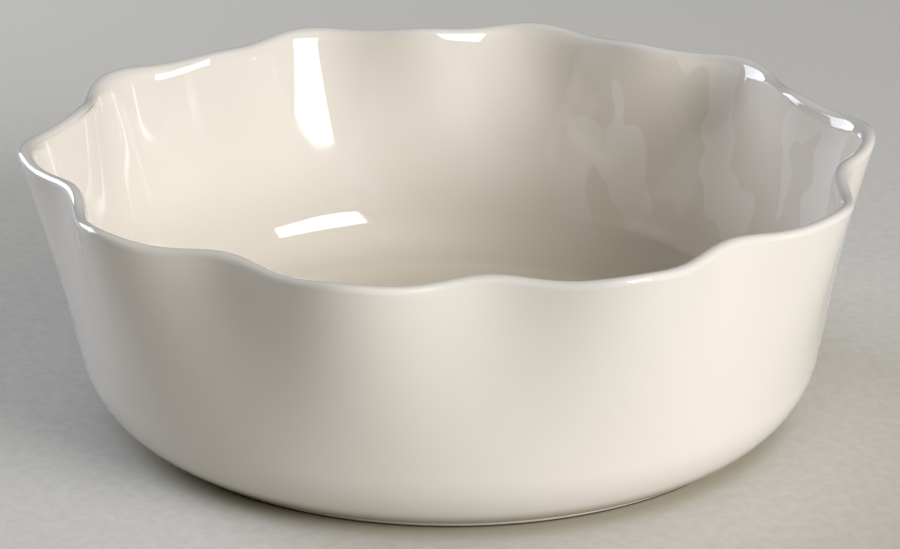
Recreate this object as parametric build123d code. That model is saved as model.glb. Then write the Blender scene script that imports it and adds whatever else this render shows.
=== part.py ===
from build123d import *
import math
import os

# A deep ruffled pie dish in glazed stoneware. The base is turned round, and the wall above it leans out and
# gathers into soft flutes that end in a rounded, wavy lip. Lengths are in millimetres and angles in degrees.
# +Z is up, the dish stands on z = 0, its axis is the Z axis and one lobe of the rim points along +X.

# Overall form, measured over the glaze. rim_radius is the mean of a lobe and a fold. The arc of the outer
# corner would turn level at corner_drop under the table, but the undercut over the foot ring ends it first.
rim_radius = 135.5
dish_height = 90.5
wall_lean = 10.85
corner_radius = 28.8
corner_drop = 1.5

# Flutes. At the lip each lobe stands out by lobe_depth and each fold stands in by as much.
lobe_count = 10
lobe_depth = 5.3
flute_fade_power = 1.5

# The lip's line is highest on each lobe and in each fold, and lies lower by rim_dip half-way between them
rim_dip = 1.3

# Thicknesses over the glaze, the lip's tight outer roll, and the rounding between floor and wall inside
wall_thickness = 5.1
lip_outer_radius = 2.0
floor_thickness = 4.4
inner_corner_radius = 27.0

# Foot ring. It stands in from the undercut's edge by foot_inset, and its glaze stops above the table
undercut_height = 3.6
foot_inset = 4.6
foot_width = 4.5
foot_bare_height = 0.5
recess_height = 1.2
recess_taper = 0.8

# Glaze
glaze_thickness = 0.4
base_glaze_margin = 1.5
base_glaze_bevel = 45

# How finely the curved forms are drawn
points_per_lobe = 8
corner_steps = 5
wall_steps = 6
roll_steps = 4

lean = math.radians(wall_lean)

# The wider inner roll takes up what the outer roll leaves of the wall's thickness
lip_inner_radius = (wall_thickness - lip_outer_radius * (1 + math.sin(lean))) / (1 - math.sin(lean))


def wall_reach(height, inset):
    """Mean radius of the leaning wall at a height, at a depth of inset square to its outer face."""
    return rim_radius - (dish_height - height) * math.tan(lean) - inset / math.cos(lean)


def flute_share(height):
    """Share of their full depth that the flutes have at a height. They start where the outer corner ends."""
    start = corner_radius * (1 - math.sin(lean)) - corner_drop
    height_share = max(0.0, (height - start) / (dish_height - start))
    return height_share**flute_fade_power


def wavy_ring(reach, height):
    """Closed smooth outline of the dish at one height."""
    depth = lobe_depth * flute_share(height)
    dip = rim_dip * flute_share(height)
    points = []
    for step in range(lobe_count * points_per_lobe):
        angle = 2 * math.pi * step / (lobe_count * points_per_lobe)
        radius = reach + depth * math.cos(lobe_count * angle)
        level = height - dip * math.sin(lobe_count * angle) ** 2
        points.append((radius * math.cos(angle), radius * math.sin(angle), level))
    return Wire([Edge.make_spline(points, periodic=True)])


def corner_stations(base_level, radius, inset, start_height):
    """Radii and heights up the arc that turns from the base at base_level into the wall."""
    centre_height = base_level + radius
    end_height = centre_height - radius * math.sin(lean)
    centre_reach = wall_reach(end_height, inset) - radius * math.cos(lean)
    steepest = math.asin(min(1.0, (centre_height - start_height) / radius))
    stations = []
    for step in range(corner_steps + 1):
        turn = steepest + (lean - steepest) * step / corner_steps
        stations.append((centre_reach + radius * math.cos(turn), centre_height - radius * math.sin(turn)))
    return stations


def wall_stations(start, end):
    """Radii and heights between the top of a corner arc and the edge of the lip."""
    stations = []
    for step in range(1, wall_steps):
        share = step / wall_steps
        stations.append((start[0] + (end[0] - start[0]) * share, start[1] + (end[1] - start[1]) * share))
    return stations


def roll_stations(radius, first_turn, last_turn, sink):
    """Radii and heights over one of the lip's two rolls, which meet on its crest."""
    crest_reach = wall_reach(dish_height - lip_outer_radius, lip_outer_radius)
    stations = []
    for step in range(roll_steps + 1):
        turn = first_turn + (last_turn - first_turn) * step / roll_steps
        reach = crest_reach + (radius - sink) * math.cos(turn)
        stations.append((reach, dish_height - radius + (radius - sink) * math.sin(turn)))
    return stations


class Skin:
    """The dish's surface at a depth of sink under the glaze's face, open at the undercut."""

    def __init__(self, sink):
        lip = roll_stations(lip_outer_radius, -lean, math.pi / 2, sink)
        lip += roll_stations(lip_inner_radius, math.pi / 2, math.pi - lean, sink)[1:]
        self.undercut_height = undercut_height + sink
        outer = corner_stations(sink - corner_drop, corner_radius - sink, sink, self.undercut_height)
        floor_level = recess_height + floor_thickness - sink
        inner = corner_stations(floor_level, inner_corner_radius + sink, wall_thickness - sink, floor_level)
        outer += wall_stations(outer[-1], lip[0]) + [lip[0]]
        inner += wall_stations(inner[-1], lip[-1]) + [lip[-1]]
        outer_rings = [wavy_ring(*station) for station in outer]
        inner_rings = [wavy_ring(*station) for station in inner]
        lip_rings = [outer_rings[-1]] + [wavy_ring(*station) for station in lip[1:-1]] + [inner_rings[-1]]
        self.edge = outer_rings[0]
        self.edge_reach = outer[0][0]
        self.faces = [Face(inner_rings[0])]
        for rings in (outer_rings, lip_rings, inner_rings):
            self.faces += Shell.make_loft(rings).faces()


def circle(radius, height):
    """Level circle about the dish's axis."""
    return Wire([Edge.make_circle(radius, Plane.XY.offset(height))])


def turned_faces(first_ring, circles):
    """Faces through a ring and a list of circles: flat washers on one level, straight bands between levels."""
    faces = []
    rings = [first_ring] + [circle(*spot) for spot in circles]
    for lower, upper in zip(rings, rings[1:]):
        if abs(lower.center().Z - upper.center().Z) < glaze_thickness / 1000:
            wide, narrow = sorted((lower, upper), key=lambda ring: -ring.length)
            faces.append(Face(wide, [narrow]))
        else:
            faces += Shell.make_loft([lower, upper], ruled=True).faces()
    return faces


glaze_face = Skin(0)
clay_face = Skin(glaze_thickness)

# The foot ring stands inside the undercut's edge, and its recess opens downwards with a slight taper
foot_reach = glaze_face.edge_reach - foot_inset
clay_foot_reach = foot_reach - glaze_thickness
recess_mouth = clay_foot_reach - foot_width
recess_floor = recess_mouth - recess_taper

# Fired clay body: the whole dish under its glaze, with the bare foot ring
clay_foot = [(clay_foot_reach, clay_face.undercut_height), (clay_foot_reach, 0)]
clay_foot += [(recess_mouth, 0), (recess_floor, recess_height)]
clay_faces = turned_faces(clay_face.edge, clay_foot) + [Face(circle(recess_floor, recess_height))]
stoneware_body = Solid(Shell(clay_face.faces + clay_faces))
stoneware_body.label = "stoneware_body"

# Glaze coat: outside of the foot ring, undercut, outer wall, lip, inner wall and floor in one skin
glaze_foot = [(foot_reach, glaze_face.undercut_height), (foot_reach, foot_bare_height)]
glaze_foot += [(clay_foot_reach, foot_bare_height), (clay_foot_reach, clay_face.undercut_height)]
glaze_skirt = turned_faces(glaze_face.edge, glaze_foot) + [Face(clay_face.edge, [circle(*glaze_foot[-1])])]
glaze_coat = Solid(Shell(glaze_face.faces + clay_face.faces + glaze_skirt))
glaze_coat.label = "glaze_coat"

# Glaze on the underside of the base, inside the foot ring. Its edge thins out.
base_glaze_outline = Face(circle(recess_floor - base_glaze_margin, recess_height))
base_glaze = extrude(base_glaze_outline, amount=glaze_thickness, dir=(0, 0, -1), taper=base_glaze_bevel)
base_glaze.label = "base_glaze"

os.makedirs("parts", exist_ok=True)
for piece in (stoneware_body, glaze_coat, base_glaze):
    export_step(piece, f"parts/{piece.label}.step")
    print(piece.label, "volume", round(piece.volume), "valid", piece.is_valid)
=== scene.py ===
# %% [markdown]
# # A glazed pie dish with a ruffled wall
#
# The real object is one fired pot: a plain turned base, a wall that leans out and gathers into ten soft flutes, and
# a rounded lip. A glossy cream glaze covers it, except for the narrow ring of clay that it stands on. This lesson
# dresses the dish for a studio photograph. The sizes come from the packed model, which is loaded here as a fixed
# frame, so whatever is made below already sits in the right place.

# %% Load the dish as a fixed frame
import math

import bpy
import numpy as np
from mathutils import Matrix, Vector


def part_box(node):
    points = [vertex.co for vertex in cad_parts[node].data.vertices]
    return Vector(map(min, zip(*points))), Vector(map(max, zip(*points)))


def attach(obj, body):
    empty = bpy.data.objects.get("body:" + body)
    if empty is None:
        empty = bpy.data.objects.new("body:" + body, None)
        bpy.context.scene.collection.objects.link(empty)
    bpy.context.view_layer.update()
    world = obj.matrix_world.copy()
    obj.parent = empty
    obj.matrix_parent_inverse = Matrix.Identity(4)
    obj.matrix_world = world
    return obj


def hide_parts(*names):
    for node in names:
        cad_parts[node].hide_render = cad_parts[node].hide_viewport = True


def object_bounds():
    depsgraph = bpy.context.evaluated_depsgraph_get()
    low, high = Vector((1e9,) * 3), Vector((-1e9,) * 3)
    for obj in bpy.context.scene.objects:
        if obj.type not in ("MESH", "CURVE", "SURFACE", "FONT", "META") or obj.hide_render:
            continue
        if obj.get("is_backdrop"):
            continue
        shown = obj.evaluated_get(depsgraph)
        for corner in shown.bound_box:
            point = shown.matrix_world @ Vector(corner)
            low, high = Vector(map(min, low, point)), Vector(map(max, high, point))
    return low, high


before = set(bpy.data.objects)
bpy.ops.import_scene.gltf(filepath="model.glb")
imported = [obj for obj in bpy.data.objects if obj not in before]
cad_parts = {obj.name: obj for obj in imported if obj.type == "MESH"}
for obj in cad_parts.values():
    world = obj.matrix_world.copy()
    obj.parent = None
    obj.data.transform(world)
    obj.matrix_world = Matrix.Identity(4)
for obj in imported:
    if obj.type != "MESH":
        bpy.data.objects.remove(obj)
cad_low, cad_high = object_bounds()
MM = 0.001
print("pieces in the frame:", sorted(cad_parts))
print("size over all in mm:", [round(side / MM, 1) for side in cad_high - cad_low])

# %% [markdown]
# ## The sizes that shape the dish
#
# A glaze is only as thick as a fingernail, but the eye reads the whole form through its reflections. The packed
# glaze is made of flat facets, and a gloss finish would show them as broken highlights. So the coat is made again
# as a fine, even mesh from the same few sizes that the potter would need: how far the rim reaches, how the wall
# leans, how deep the flutes are and how the corners turn. Height and reach are read from the frame.

# %% Sizes of the dish, in metres
glaze_low, glaze_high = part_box("glaze_coat")

WALL_LEAN = math.radians(10.85)
CORNER_RADIUS = 28.8 * MM
CORNER_DROP = 1.5 * MM
INNER_CORNER_RADIUS = 27.0 * MM
FLOOR_LEVEL = 5.6 * MM

UNDERCUT_HEIGHT = 3.6 * MM
EDGE_EASE = 1.2 * MM
FOOT_INSET = 4.6 * MM
FOOT_FILLET = 0.8 * MM
GLAZE_THICKNESS = 0.4 * MM
GLAZE_END = glaze_low.z

LOBES = 10
LOBE_DEPTH = 5.3 * MM
RIM_DIP = 1.3 * MM
FADE_POWER = 1.5

# A hair of room keeps the new coat inside the packed one's box.
HAIR = 0.03 * MM
DISH_HEIGHT = glaze_high.z - HAIR
print("dish height in mm:", round(DISH_HEIGHT / MM, 2), "glaze ends above the table at mm:", round(GLAZE_END / MM, 2))

# %% [markdown]
# ## The lip
#
# The lip is three arcs that run into each other. A tight roll turns over its outer edge, a wider one comes down on
# the inside, and the widest eases into the wall and gives the lamps a broad patch to shine on. The middle arc takes
# up what the others leave of the wall's thickness, so its radius is worked out instead of chosen.

# %% Work out the lip
WALL_THICKNESS = 5.1 * MM
LIP_OUTER = 2.0 * MM
LIP_EASE = 14.0 * MM
EASE_TURN = math.radians(26)
ease_share = math.cos(EASE_TURN - WALL_LEAN)
outer_share = 1 + math.sin(WALL_LEAN)
left_over = WALL_THICKNESS - LIP_OUTER * outer_share - LIP_EASE * (1 - ease_share)
LIP_INNER = left_over / (ease_share - math.sin(WALL_LEAN))
print("lip's inner roll in mm:", round(LIP_INNER / MM, 2))

# %% [markdown]
# ## Where the flutes start, and how far the wall reaches
#
# Low down the dish is round, and the flutes grow out of it on the way up. Their depth follows the height to a power
# a little over one, so that no line shows where they start. The lip's crest stands where the deepest lobe, with its
# roll, just fills the packed model's width.

# %% Measure the flutes and the wall
FLUTE_START = CORNER_RADIUS * (1 - math.sin(WALL_LEAN)) - CORNER_DROP
ROLL_SAMPLES = 90


def flute_share(height):
    """Share of their full depth that the flutes have at a height."""
    return np.clip((height - FLUTE_START) / (DISH_HEIGHT - FLUTE_START), 0, None) ** FADE_POWER


roll = np.linspace(0, math.pi / 2, ROLL_SAMPLES)
bulge = LIP_OUTER * np.cos(roll) + LOBE_DEPTH * flute_share(DISH_HEIGHT - LIP_OUTER * (1 - np.sin(roll)))
CREST_REACH = glaze_high.x - HAIR - bulge.max()


def wall_reach(height, inset):
    """Mean radius of the leaning wall at a height, at a depth of inset square to its outer face."""
    drop = DISH_HEIGHT - LIP_OUTER - height
    return CREST_REACH - drop * math.tan(WALL_LEAN) + (LIP_OUTER - inset) / math.cos(WALL_LEAN)


print("flutes start at height in mm:", round(FLUTE_START / MM, 1), "crest's reach in mm:", round(CREST_REACH / MM, 1))

# %% [markdown]
# ## The half profile
#
# A turned pot is one line spun round its axis, so the form starts as a list of radius and height pairs. The line
# climbs the foot ring, turns out along the undercut and round its softened edge, follows the outer corner and the
# leaning wall, goes over the lip, and comes down to the floor. Melted glaze rounds every edge and fills every crease
# a little, which is why small arcs sit where two straight parts meet. The same function gives the face where glaze
# meets clay, a little deeper.

# %% Find the middles of the arcs
def corner_centre(level, radius, inset):
    """Reach and height of the middle of the arc that runs from a level base into the leaning wall."""
    height = level + radius
    return wall_reach(height - radius * math.sin(WALL_LEAN), inset) - radius * math.cos(WALL_LEAN), height


outer_reach, outer_height = corner_centre(-CORNER_DROP, CORNER_RADIUS, 0)
inner_reach, inner_height = corner_centre(FLOOR_LEVEL, INNER_CORNER_RADIUS, WALL_THICKNESS)
ease_reach = CREST_REACH + (LIP_EASE - LIP_INNER) * math.cos(EASE_TURN)
ease_height = DISH_HEIGHT - LIP_INNER - (LIP_EASE - LIP_INNER) * math.sin(EASE_TURN)
edge_turn = math.asin((outer_height - UNDERCUT_HEIGHT - EDGE_EASE) / (CORNER_RADIUS - EDGE_EASE))
edge_reach = outer_reach + (CORNER_RADIUS - EDGE_EASE) * math.cos(edge_turn)
sharp_edge = outer_reach + math.sqrt(CORNER_RADIUS**2 - (outer_height - UNDERCUT_HEIGHT) ** 2)
foot_reach = sharp_edge - FOOT_INSET
print("foot ring across in mm:", round(2 * foot_reach / MM, 1))

# %% Draw the half profile
UP, DOWN = math.pi / 2, -math.pi / 2
EASING, LEANING = math.pi - EASE_TURN, math.pi - WALL_LEAN

# Points on each stretch of the line, before they are multiplied for a finer face.
STEPS = {"edge": 4, "outer": 8, "up": 12, "tight": 5, "wide": 5, "ease": 4, "down": 10, "inner": 9, "floor": 8}
FINE, COARSE = 3, 1


def arc(reach, height, radius, start, end, steps):
    """Points on an arc about (reach, height), from one angle to another."""
    turn = np.linspace(start, end, steps)
    return np.stack([reach + radius * np.cos(turn), height + radius * np.sin(turn)], axis=-1)


def joined(start, end, steps):
    """Evenly spaced points between two points, without the two."""
    share = np.linspace(0, 1, steps + 1)[1:-1, None]
    return start + (end - start) * share


def half_profile(sink, detail):
    """The dish's line at a depth of sink under the glaze's face, from the undercut over the foot to the floor."""
    steps = {stretch: count * detail for stretch, count in STEPS.items()}
    edge = arc(edge_reach, UNDERCUT_HEIGHT + EDGE_EASE, EDGE_EASE - sink, DOWN, -edge_turn, steps["edge"])
    outer = arc(outer_reach, outer_height, CORNER_RADIUS - sink, -edge_turn, -WALL_LEAN, steps["outer"])
    tight = arc(CREST_REACH, DISH_HEIGHT - LIP_OUTER, LIP_OUTER - sink, -WALL_LEAN, UP, steps["tight"])
    wide = arc(CREST_REACH, DISH_HEIGHT - LIP_INNER, LIP_INNER - sink, UP, EASING, steps["wide"])
    ease = arc(ease_reach, ease_height, LIP_EASE - sink, EASING, LEANING, steps["ease"])
    inner = arc(inner_reach, inner_height, INNER_CORNER_RADIUS + sink, -WALL_LEAN, DOWN, steps["inner"])
    middle = np.array([0, FLOOR_LEVEL - sink])
    up = joined(outer[-1], tight[0], steps["up"])
    down = joined(ease[-1], inner[0], steps["down"])
    level = joined(inner[-1], middle, steps["floor"])
    return np.concatenate([edge, outer[1:], up, tight, wide[1:], ease[1:], down, inner, level])


glaze_face = half_profile(0, FINE)
clay_face = half_profile(GLAZE_THICKNESS, COARSE)
print("points on the half profile:", len(glaze_face), "and where glaze meets clay:", len(clay_face))

# %% [markdown]
# ## Spin the profile and ruffle it
#
# A Screw modifier would spin the line into a plain bowl, and the flutes would have to be pushed in afterwards. It
# is simpler to place each ring of points at once, with its radius swelling and shrinking ten times round. The lip
# also dips a little between each lobe and fold, as a soft edge does when it is pinched, so the rings rise and fall
# by the same share.

# %% Spin and ruffle
COLUMNS = 360


def ruffled_rings(profile):
    """A grid of points: one ring round the axis for each point of the profile."""
    angle = np.linspace(0, 2 * math.pi, COLUMNS, endpoint=False)
    share = flute_share(profile[:, 1])[:, None]
    reach = profile[:, :1] + LOBE_DEPTH * share * np.cos(LOBES * angle)
    height = profile[:, 1:] - RIM_DIP * share * np.sin(LOBES * angle) ** 2
    return np.stack([reach * np.cos(angle), reach * np.sin(angle), height], axis=-1)


def spun_mesh(name, rings):
    """A mesh of quads between neighbouring rings, closed by a fan of triangles about the axis at both ends."""
    rows = len(rings)
    row, column = np.meshgrid(np.arange(rows - 1), np.arange(COLUMNS), indexing="ij")
    here, beside = row * COLUMNS + column, row * COLUMNS + (column + 1) % COLUMNS
    quads = np.stack([here, beside, beside + COLUMNS, here + COLUMNS], axis=-1).reshape(-1, 4).tolist()
    first, last = rows * COLUMNS, rows * COLUMNS + 1
    ends = [(0, 0, rings[0, 0, 2]), (0, 0, rings[-1, 0, 2])]
    start_fan = [(first, (k + 1) % COLUMNS, k) for k in range(COLUMNS)]
    end_fan = [(last, first - COLUMNS + k, first - COLUMNS + (k + 1) % COLUMNS) for k in range(COLUMNS)]
    mesh = bpy.data.meshes.new(name)
    mesh.from_pydata(rings.reshape(-1, 3).tolist() + ends, [], quads + start_fan + end_fan)
    mesh.shade_smooth()
    piece = bpy.data.objects.new(name, mesh)
    bpy.context.scene.collection.objects.link(piece)
    return piece


print("points round each ring:", COLUMNS)

# %% [markdown]
# ## The glaze coat
#
# The coat is closed, with a face towards the clay and a face to look at. Its line runs out from the middle along the
# clay and down the inner side of its skirt on the foot ring, turns under the skirt's end, and comes back along the
# glaze. The skirt carries a second ring of points close above its end, which keeps that edge crisp.

# %% Make the glaze coat
FILLET_STEPS = 7
SKIRT_EDGE = 1.5 * GLAZE_END
fillet = arc(foot_reach + FOOT_FILLET, UNDERCUT_HEIGHT - FOOT_FILLET, FOOT_FILLET, UP, math.pi, FILLET_STEPS)[::-1]
clay_side = foot_reach - GLAZE_THICKNESS
skirt_inside = np.array([[clay_side, clay_face[0, 1]], [clay_side, GLAZE_END]])
skirt_outside = np.array([[foot_reach, GLAZE_END], [foot_reach, SKIRT_EDGE]])
coat_line = np.concatenate([clay_face[::-1], skirt_inside, skirt_outside, fillet, glaze_face])
glaze = spun_mesh("glaze", ruffled_rings(coat_line))
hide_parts("glaze_coat")
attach(glaze, "root")
print("glaze:", len(glaze.data.vertices), "points and", len(glaze.data.polygons), "faces")

# %% [markdown]
# ## Shader maths that reads like arithmetic
#
# A finish is a small sum of noises and masks. Placing Math nodes by hand hides that sum, so one small class wraps a
# node's output and turns +, -, *, ** and abs() into Math nodes, whichever side of the sign the output stands on.

# %% A wrapper for sockets
class Signal:
    """The output of a node. Arithmetic on it adds Math nodes to the same tree."""

    def __init__(self, nodes, socket):
        self.nodes = nodes
        self.socket = socket

    def maths(self, operation, first, second=0):
        return self.nodes.node("ShaderNodeMath", {"operation": operation}, {0: first, 1: second})

    def __add__(self, other):
        return self.maths("ADD", self, other)

    def __sub__(self, other):
        return self.maths("SUBTRACT", self, other)

    def __rsub__(self, other):
        return self.maths("SUBTRACT", other, self)

    def __mul__(self, other):
        return self.maths("MULTIPLY", self, other)

    def __pow__(self, other):
        return self.maths("POWER", self, other)

    def __rpow__(self, other):
        return self.maths("POWER", other, self)

    def __abs__(self):
        return self.maths("ABSOLUTE", self)

    __radd__ = __add__
    __rmul__ = __mul__


print("arithmetic on a node's output is ready")

# %% [markdown]
# ## One way to add a node
#
# Every other node comes from a single method that first sets the node's options and then fills its sockets with
# numbers, colours or signals. Vectors keep to the Vector Math node, because a Math node sees only one number.

# %% A maker of nodes
class Nodes:
    """A node tree in the making."""

    def __init__(self, tree):
        self.tree = tree
        tree.nodes.clear()

    def node(self, kind, settings=None, sockets=None, output=0):
        made = self.tree.nodes.new(kind)
        for name, value in (settings or {}).items():
            setattr(made, name, value)
        for name, value in (sockets or {}).items():
            if isinstance(value, Signal):
                self.tree.links.new(value.socket, made.inputs[name])
            else:
                made.inputs[name].default_value = value
        return Signal(self, made.outputs[output]) if made.outputs else None

    def coordinate(self, kind):
        return self.node("ShaderNodeTexCoord", output=kind)

    def dot(self, first, second):
        """How far one vector reaches along another, times the other's length."""
        return self.node("ShaderNodeVectorMath", {"operation": "DOT_PRODUCT"}, {0: first, 1: second}, output="Value")

    def length(self, vector):
        return self.node("ShaderNodeVectorMath", {"operation": "LENGTH"}, {0: vector}, output="Value")

    def part(self, vector, axis):
        """The share of a vector along X, Y or Z."""
        return self.node("ShaderNodeSeparateXYZ", {}, {0: vector}, output=axis)


print("nodes are made by one method")

# %% [markdown]
# ## A material in the making
#
# A finish knows the point that is being shaded, in metres on the piece itself, so its pattern stays on the dish from
# wherever it is seen. Noise gives chance, a fade turns any signal into a soft or sharp mask, and a blend lays one
# colour over another where the mask says so.

# %% A maker of finishes
class Finish(Nodes):
    """A material in the making."""

    def __init__(self, name):
        self.material = bpy.data.materials.new(name)
        self.material.use_nodes = True
        super().__init__(self.material.node_tree)

    def place(self):
        """The point that is being shaded."""
        return self.coordinate("Object")

    def facing(self):
        """The direction in which the face looks."""
        return self.coordinate("Normal")

    def height(self):
        return self.part(self.place(), "Z")

    def stretched(self, along):
        """The shaded point, with heights counted at a share of their size, so that a noise runs down the wall."""
        return self.node("ShaderNodeVectorMath", {"operation": "MULTIPLY"}, {0: self.place(), 1: (1, 1, along)})

    def noise(self, scale, detail=2.0, roughness=0.5, where=None):
        sockets = {"Vector": where or self.place(), "Scale": scale, "Detail": detail, "Roughness": roughness}
        return self.node("ShaderNodeTexNoise", {}, sockets, output="Fac")

    def fade(self, signal, start, end):
        """A smooth mask that is 0 where the signal is at start and 1 where it is at end."""
        sockets = {"Value": signal, "From Min": start, "From Max": end}
        return self.node("ShaderNodeMapRange", {"interpolation_type": "SMOOTHSTEP"}, sockets)

    def blend(self, mask, first, second):
        """A colour that goes from first to second as the mask goes from 0 to 1."""
        return self.node("ShaderNodeMix", {"data_type": "RGBA"}, {0: mask, 6: first, 7: second}, output=2)

    def bump(self, relief, distance):
        """A normal for a relief in which 1 stands a distance in metres above 0."""
        return self.node("ShaderNodeBump", {}, {"Height": relief, "Distance": distance, "Strength": 1.0})

    def surface(self, sockets):
        shader = self.node("ShaderNodeBsdfPrincipled", {}, sockets)
        self.node("ShaderNodeOutputMaterial", {}, {"Surface": shader})
        return self.material


def wear(piece, material):
    """Gives a piece one material, in place of any that it came with."""
    piece.data.materials.clear()
    piece.data.materials.append(material)


print("a finish can be asked for:", sorted(name for name in vars(Finish) if not name.startswith("_")))

# %% [markdown]
# ## Inside, outside and underneath
#
# Much of what a glaze does depends on which side of the dish it is on. No extra map is needed for that. A face on
# the outer wall looks away from the axis and a face on the inner wall looks towards it, so the point's distance from
# the axis, counted along the way the face looks, is above zero outside, below zero inside and near zero on floors.

# %% Tell the sides of the dish apart
CLEARLY_OUT = 100 * MM


def outwards(finish):
    """How far the shaded point lies from the middle, counted along the way its face looks."""
    return finish.dot(finish.place(), finish.facing())


def inner_wall(finish):
    """A mask that is 1 on the wall inside the dish and 0 elsewhere."""
    return finish.fade(outwards(finish), start=-CLEARLY_OUT / 2, end=-CLEARLY_OUT)


def outer_side(finish):
    """A mask that is 1 on the outer wall, the lip and the foot's outer side, and 0 elsewhere."""
    return finish.fade(outwards(finish), start=CLEARLY_OUT / 4, end=CLEARLY_OUT / 2)


def inside(finish):
    """A mask that is 1 on the wall and the floor inside the dish and 0 elsewhere."""
    return (1 - outer_side(finish)) * finish.fade(finish.height(), start=UNDERCUT_HEIGHT, end=FLOOR_LEVEL)


print("a face counts as outside from", round(CLEARLY_OUT / 2 / MM), "mm")

# %% [markdown]
# ## Painted streaks and patches of reflected light
#
# The wall inside shows thin light streaks at one end of the dish, and hazy patches with clear edges at the other. On
# a glaze like this they can be runs, or mirror images of the room, and one photograph can't tell which.
# Both are painted reflections: light reflected by the glaze, laid in its colour here, which is the simpler way, and
# so they stay in place when the view changes. Both come from a soft noise, stretched so that it runs down the wall.
# Cut at one level it gives patches, and kept only near a level it gives lines. The streaks fade out low on the wall,
# and a second noise breaks them up.

# %% Draw the streaks and the patches
# Painted reflected light: the lighter cream of the thin streaks on the wall inside.
PAINTED_STREAK_LIGHT = (0.88, 0.86, 0.82, 1)
STREAK_WIDTH = 0.03
# Painted reflected light: the lighter cream of the hazy patches on the wall inside.
PAINTED_PATCH_LIGHT = (0.86, 0.83, 0.80, 1)
PATCH_LIGHT_STRENGTH = 0.6


def streak_end(finish):
    """A mask for the end of the inner wall that has the streaks."""
    across = finish.part(finish.place(), "X")
    return finish.fade(across, start=-78 * MM, end=-90 * MM) * inner_wall(finish)


def with_painted_light_streaks(finish, colour):
    # Noise for the painted reflected light, stretched so that it runs down the wall.
    runs = finish.noise(scale=60.0, detail=0.5, where=finish.stretched(0.16))
    lines = finish.fade(abs(runs - 0.5), start=STREAK_WIDTH, end=STREAK_WIDTH / 4)
    broken = finish.fade(finish.noise(scale=30.0), start=0.42, end=0.56)
    high = finish.fade(finish.height(), start=40 * MM, end=52 * MM)
    return finish.blend(lines * broken * high * streak_end(finish), colour, PAINTED_STREAK_LIGHT)


def with_painted_light_patches(finish, colour):
    # Patches of painted reflected light at the other end of the inner wall.
    pattern = finish.noise(scale=34.0, detail=2.0, where=finish.stretched(0.6))
    patches = finish.fade(pattern, start=0.54, end=0.553)
    across = finish.part(finish.place(), "X")
    light_patch_end = finish.fade(across, start=46 * MM, end=60 * MM) * inner_wall(finish)
    return finish.blend(patches * light_patch_end * PATCH_LIGHT_STRENGTH, colour, PAINTED_PATCH_LIGHT)


print("streaks:", PAINTED_STREAK_LIGHT[:3], "haze:", PAINTED_PATCH_LIGHT[:3])

# %% [markdown]
# ## Where the glaze is deep or thin, with painted shade
#
# Melted glaze draws back from edges and gathers in low places, and the same places take shade. So the colour here is
# cooler on the lip, partly thin glaze and partly painted reflection and shade; deeper towards the floor inside and
# olive in the undercut over the foot, partly pooled glaze and partly painted shade; and near black at its last edge
# above the table, a painted contact shadow. In the photograph such tones are mixed with shade, so how strong each one
# is was found by comparing renders with it. Each is a mask by height, held to its own side of the dish.

# %% Lay the tones by height
# Deeper tone towards the floor inside: partly pooled glaze, partly painted shade.
CREAM_DEEP_AND_SHADE = (0.690, 0.645, 0.580, 1)
DEEP_START = 45 * MM
# Greyer lip: partly thin glaze, partly painted reflection and shade on its upper faces.
LIP_GREY = (0.690, 0.668, 0.640, 1)
LIP_FADE = 4 * MM
# Olive in the undercut over the foot: partly pooled glaze, partly painted shade in the crease.
OLIVE = (0.34, 0.31, 0.20, 1)
OLIVE_STRENGTH = 0.9
POOL_AND_SHADE_HEIGHT = 6 * MM
# Painted contact shadow: near black where the dish meets the table.
CONTACT_SHADOW = (0.06, 0.048, 0.032, 1)


def near_table(finish):
    """A mask that is 1 at the coat's last edge above the table, and 0 a little higher."""
    return finish.fade(finish.height(), start=2 * GLAZE_END, end=GLAZE_END)


def with_tones(finish, colour):
    height = finish.height()
    # Partly pooled glaze, partly painted shade, growing towards the floor inside.
    deep_and_shaded = finish.fade(height, start=DEEP_START, end=FLOOR_LEVEL) * inside(finish)
    colour = finish.blend(deep_and_shaded, colour, CREAM_DEEP_AND_SHADE)
    # Greyer towards the lip's crest: partly thin glaze, partly painted reflection and shade.
    thin_and_sheen = finish.fade(height, start=DISH_HEIGHT - LIP_FADE, end=DISH_HEIGHT - RIM_DIP)
    colour = finish.blend(thin_and_sheen, colour, LIP_GREY)
    # Olive band about the undercut: partly pooled glaze, partly painted shade.
    under = finish.fade(height, start=UNDERCUT_HEIGHT + POOL_AND_SHADE_HEIGHT, end=UNDERCUT_HEIGHT)
    over = finish.fade(height, start=UNDERCUT_HEIGHT - POOL_AND_SHADE_HEIGHT / 2, end=UNDERCUT_HEIGHT)
    pooled_and_shaded = under * over * (1 - inside(finish)) * OLIVE_STRENGTH
    colour = finish.blend(pooled_and_shaded, colour, OLIVE)
    # Painted contact shadow on the glaze's last edge above the table.
    return finish.blend(near_table(finish) * outer_side(finish), colour, CONTACT_SHADOW)


print("deeper below mm:", round(DEEP_START / MM), "olive below mm:", round((UNDERCUT_HEIGHT + POOL_AND_SHADE_HEIGHT) / MM, 1))

# %% [markdown]
# ## The cream glaze
#
# The glaze is a smooth glass over pale clay, and its low roughness gives sharp mirror images of the lamps. The face
# is never quite flat: a wide, faint noise in the bump bends the reflections, a finer one breaks their edges, and
# waves at the end with the streaks bend them more. The patch of glaze on the underside is the same glaze.

# %% Mix the cream glaze
CREAM = (0.742, 0.698, 0.636, 1)
RELIEF_DEPTH = 0.12 * MM
FINE_SHARE = 0.016
WAVE_SHARE = 7.0


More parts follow.
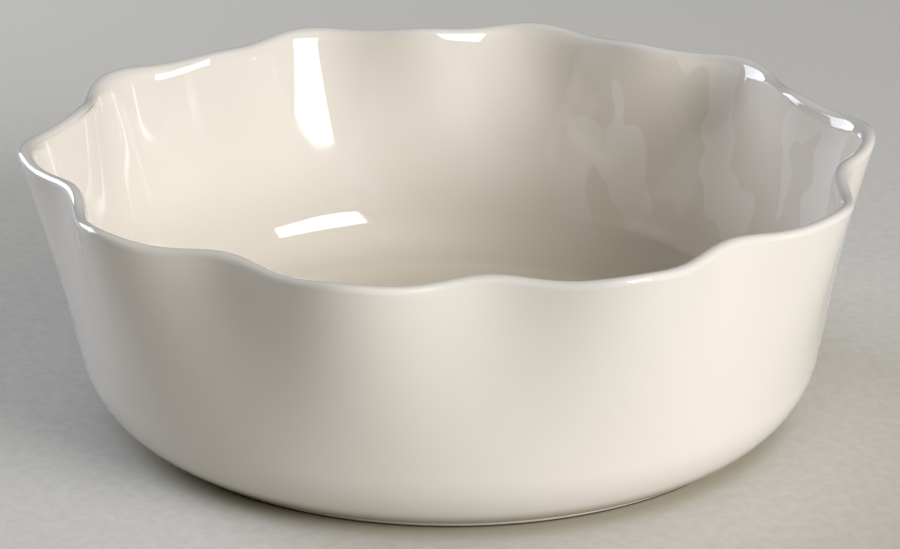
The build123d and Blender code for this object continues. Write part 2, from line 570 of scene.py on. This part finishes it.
def cream_glaze():
    finish = Finish("cream_glaze")
    colour = with_tones(finish, with_painted_light_patches(finish, with_painted_light_streaks(finish, CREAM)))
    relief = finish.noise(scale=22.0, detail=1.0) + finish.noise(scale=260.0) * FINE_SHARE
    waves = finish.noise(scale=50.0, detail=1.0, where=finish.stretched(0.5)) * streak_end(finish)
    skin = finish.bump(relief + waves * WAVE_SHARE, RELIEF_DEPTH)
    rough = finish.noise(scale=40.0) * 0.03 + 0.045
    return finish.surface({"Base Color": colour, "Roughness": rough, "IOR": 1.5, "Normal": skin})


glaze_material = cream_glaze()
wear(glaze, glaze_material)
wear(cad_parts["base_glaze"], glaze_material)
print("glazed:", glaze.name, "and base_glaze, nodes in the finish:", len(glaze_material.node_tree.nodes))

# %% [markdown]
# ## The bare clay of the foot
#
# Only the ring that the dish stands on is left bare, because glaze there would weld the pot to the kiln shelf. The
# photograph doesn't show it, so it has what such rings usually have: matt, slightly sandy clay that is darker in its
# pores. A painted contact shadow darkens its upright side where it meets the table.

# %% Fire the clay
CLAY = (0.50, 0.43, 0.33, 1)
CLAY_DARK = (0.30, 0.24, 0.17, 1)
GRIT_DEPTH = 0.15 * MM


def fired_clay():
    finish = Finish("fired_clay")
    grit = finish.noise(scale=900.0, detail=6.0, roughness=0.7)
    colour = finish.blend(finish.fade(grit, start=0.4, end=0.7), CLAY, CLAY_DARK)
    upright = finish.fade(finish.part(finish.facing(), "Z"), start=-0.6, end=-0.3)
    # Painted contact shadow on the upright side where it meets the table.
    colour = finish.blend(near_table(finish) * upright, colour, CONTACT_SHADOW)
    rough = 0.85 - finish.noise(scale=120.0) * 0.15
    return finish.surface({"Base Color": colour, "Roughness": rough, "Normal": finish.bump(grit, GRIT_DEPTH)})


clay_material = fired_clay()
wear(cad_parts["stoneware_body"], clay_material)
print("fired: stoneware_body, nodes in the finish:", len(clay_material.node_tree.nodes))

# %% [markdown]
# ## The floor
#
# A plain pale floor runs out of sight in every direction, so its colour is also the background. It is faintly
# grained, as a stone or plaster top is, and the grain is lost with distance. Close to the foot the photograph shows
# it darker and warmer, and a ring of painted shadow, warmed as by light bounced off the dish, repeats that.

# %% Colour the floor
FLOOR_GREY = (0.609, 0.601, 0.575, 1)
FLOOR_MOTTLE = (0.559, 0.551, 0.529, 1)
# Painted shadow round the foot, warmed as by light bounced off the dish.
FLOOR_SHADOW_AND_BOUNCE = (0.52, 0.48, 0.375, 1)
SHADOW_RING_REACH = 119 * MM
GRAIN_NEAR = 200 * MM
GRAIN_FAR = 500 * MM


def studio_floor():
    finish = Finish("studio_floor")
    grain = finish.noise(scale=240.0, detail=5.0, roughness=0.65)
    mottle = finish.fade(grain, start=0.35, end=0.65)
    reach = finish.length(finish.place())
    near = finish.fade(reach, start=GRAIN_FAR, end=GRAIN_NEAR)
    colour = finish.blend((mottle - 0.5) * near + 0.5, FLOOR_GREY, FLOOR_MOTTLE)
    # Lays the ring of painted shadow on the floor close to the foot.
    colour = finish.blend(finish.fade(reach, start=SHADOW_RING_REACH, end=foot_reach), colour, FLOOR_SHADOW_AND_BOUNCE)
    rough = 0.7 - finish.noise(scale=3.0) * 0.1
    return finish.surface({"Base Color": colour, "Roughness": rough, "IOR": 1.4})


floor_material = studio_floor()
print("floor's finish: nodes", len(floor_material.node_tree.nodes))

# %% Lay the floor
FLOOR_RADIUS = 6.0
FLOOR_SIDES = 64
floor_mesh = bpy.data.meshes.new("floor")
edge_angles = np.linspace(0, 2 * math.pi, FLOOR_SIDES, endpoint=False)
edge_points = [(FLOOR_RADIUS * math.cos(angle), FLOOR_RADIUS * math.sin(angle), 0) for angle in edge_angles]
floor_mesh.from_pydata(edge_points, [], [list(range(FLOOR_SIDES))])
floor = bpy.data.objects.new("floor", floor_mesh)
bpy.context.scene.collection.objects.link(floor)
wear(floor, floor_material)
floor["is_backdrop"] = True
print("floor across in m:", 2 * FLOOR_RADIUS)

# %% [markdown]
# ## Light
#
# The highlights on the real dish are the mirror images of the lamps, so they say where the lamps stand. A wide soft
# window at the right, in front, makes the tall patch on the far wall inside. It leans a little, which a small roll
# about its own line gives. A cooler one at the left fills the shaded side.

# %% Hang the lamps
CAMERA_TURN = math.radians(-4.913)
KEY_COLOUR = (0.965, 0.972, 1.0)
FILL_COLOUR = (0.835, 0.885, 1.0)
KEY_ROLL = -3


def bearing_line(bearing, elevation):
    """Direction from the dish towards a lamp. The bearing is clockwise from the camera's line, seen from above."""
    bearing = math.radians(bearing) - CAMERA_TURN
    elevation = math.radians(elevation)
    level = math.cos(elevation)
    return Vector((math.sin(bearing) * level, math.cos(bearing) * level, math.sin(elevation)))


def softbox(name, bearing, elevation, distance, width, height, power, colour, roll=0):
    """A rectangular area lamp that faces the dish, rolled by some degrees about its own line."""
    lamp = bpy.data.lights.new(name, "AREA")
    lamp.shape = "RECTANGLE"
    lamp.size = width
    lamp.size_y = height
    lamp.energy = power
    lamp.color = colour
    stand = bpy.data.objects.new(name, lamp)
    away = bearing_line(bearing, elevation)
    stand.location = away * distance + Vector((0, 0, DISH_HEIGHT / 2))
    facing = away.to_track_quat("Z", "Y").to_matrix() @ Matrix.Rotation(math.radians(roll), 3, "Z")
    stand.rotation_euler = facing.to_euler()
    bpy.context.scene.collection.objects.link(stand)


key = {"bearing": 132, "elevation": 21.9, "distance": 2.4, "width": 1.29, "height": 1.0, "power": 51.5}
fill = {"bearing": -55, "elevation": 20, "distance": 2.0, "width": 1.22, "height": 1.0, "power": 34.3}
softbox("key_window", colour=KEY_COLOUR, roll=KEY_ROLL, **key)
softbox("fill_window", colour=FILL_COLOUR, **fill)

# %% [markdown]
# ## The room
#
# The rest of the studio is dim. Its walls send back one broad, warm glow from over the camera's right shoulder. It
# is a lobe: bright along one line and falling off smoothly round it.

# %% Light the room
ROOM_COLOUR = (1.0, 0.93, 0.77, 1)
GLOW_STRENGTH = 1.5
GLOW_FALL = 6
room = bpy.data.worlds.new("studio")
bpy.context.scene.world = room
room.use_nodes = True
room_nodes = Nodes(room.node_tree)


def glow(bearing, elevation):
    """A soft lobe of light that is 1 along the line and 0 at a right angle to it."""
    facing = room_nodes.dot(room_nodes.coordinate("Generated"), bearing_line(bearing, elevation))
    return facing.maths("MAXIMUM", facing) ** GLOW_FALL


light = glow(bearing=135, elevation=50) * GLOW_STRENGTH
sky = room_nodes.node("ShaderNodeBackground", {}, {"Color": ROOM_COLOUR, "Strength": light})
room_nodes.node("ShaderNodeOutputWorld", {}, {"Surface": sky})
print("room nodes:", len(room.node_tree.nodes))

# %% [markdown]
# ## Camera
#
# A long lens looks a little down on the dish, from a place that was worked out by fitting the rim and the walls to
# the photograph. One lobe lies about five degrees off the camera's right hand.

# %% Place the camera
CAMERA_DISTANCE = 0.9314
CAMERA_HEIGHT = 0.3949
CAMERA_PITCH = 0.3619
CAMERA_ROLL = 0.0028
LENS_MM = 120
SENSOR_MM = 36
camera_data = bpy.data.cameras.new("camera")
camera_data.sensor_width = SENSOR_MM
camera_data.lens = LENS_MM
camera = bpy.data.objects.new("camera", camera_data)
turned = Matrix.Rotation(CAMERA_TURN, 4, "Z")
tilted = Matrix.Rotation(math.pi / 2 - CAMERA_PITCH, 4, "X") @ Matrix.Rotation(CAMERA_ROLL, 4, "Z")
camera.matrix_world = turned @ Matrix.Translation((0, -CAMERA_DISTANCE, CAMERA_HEIGHT)) @ tilted
bpy.context.scene.collection.objects.link(camera)
bpy.context.scene.camera = camera
bpy.context.scene.view_settings.view_transform = "Standard"
print("camera at", [round(x, 3) for x in camera.matrix_world.translation])

# %% [markdown]
# ## Check the size
#
# The dressed dish has to keep the size of the packed one, so the change of each side of its box is printed, in mm.

# %% Print the change in the box
seen_low, seen_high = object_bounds()
grown = [(seen - packed) / MM for seen, packed in zip([*seen_low, *seen_high], [*cad_low, *cad_high])]
print("grown by in mm:", [round(change, 3) for change in grown])
